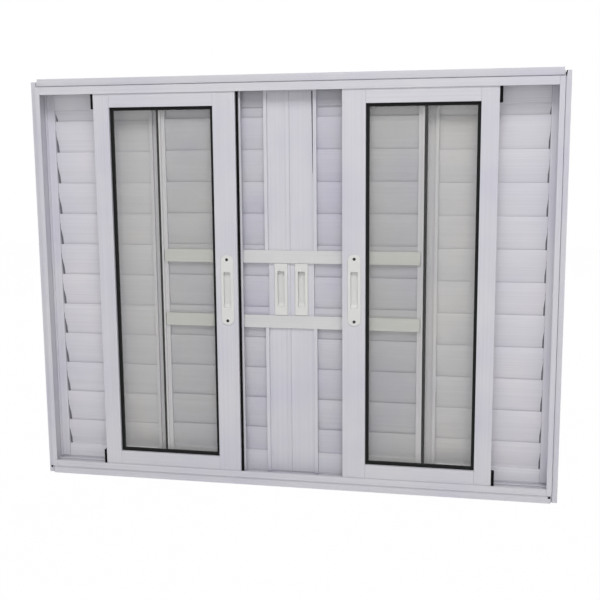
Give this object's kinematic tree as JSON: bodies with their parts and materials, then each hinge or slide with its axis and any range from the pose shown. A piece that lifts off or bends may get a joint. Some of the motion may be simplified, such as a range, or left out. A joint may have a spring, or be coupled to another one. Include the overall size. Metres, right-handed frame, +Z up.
{
  "type": "louvred shutter window",
  "caption": "White aluminium sliding window with louvred shutter leaves behind two glazed leaves in a three-track frame.",
  "frame": {"origin": "centre of the sill's underside, halfway between the frame's front and back", "axes": "+X to the right seen from the room, +Y out of the building, +Z up; the room side faces -Y"},
  "size_m": [1.5, 0.078, 1.17],
  "materials": {
    "paint": "satin",
    "pull": "satin",
    "glass": "polished",
    "gasket": "matte",
    "seal": "matte"
  },
  "bodies": {
    "root": {"head": "paint", "left_fixed_bottom_rail": "paint", "left_fixed_inner_stile": "paint", "left_fixed_outer_stile": "paint", "left_fixed_slats": "paint", "left_fixed_top_rail": "paint", "left_glass_bottom_rail": "paint", "left_glass_gasket": "gasket", "left_glass_meeting_stile": "paint", "left_glass_outer_stile": "paint", "left_glass_pane": "glass", "left_glass_pull": "pull", "left_glass_seals": "seal", "left_glass_top_rail": "paint", "left_jamb": "paint", "left_louvre_bottom_rail": "paint", "left_louvre_edge_seal": "seal", "left_louvre_inner_stile": "paint", "left_louvre_mid_rails": "paint", "left_louvre_outer_stile": "paint", "left_louvre_pull": "pull", "left_louvre_slats": "paint", "left_louvre_top_rail": "paint", "right_fixed_bottom_rail": "paint", "right_fixed_inner_stile": "paint", "right_fixed_outer_stile": "paint", "right_fixed_slats": "paint", "right_fixed_top_rail": "paint", "right_glass_bottom_rail": "paint", "right_glass_gasket": "gasket", "right_glass_meeting_stile": "paint", "right_glass_outer_stile": "paint", "right_glass_pane": "glass", "right_glass_pull": "pull", "right_glass_seals": "seal", "right_glass_top_rail": "paint", "right_jamb": "paint", "right_louvre_bottom_rail": "paint", "right_louvre_edge_seal": "seal", "right_louvre_inner_stile": "paint", "right_louvre_mid_rails": "paint", "right_louvre_outer_stile": "paint", "right_louvre_pull": "pull", "right_louvre_slats": "paint", "right_louvre_top_rail": "paint", "sill": "paint"}
  },
  "joints": []
}
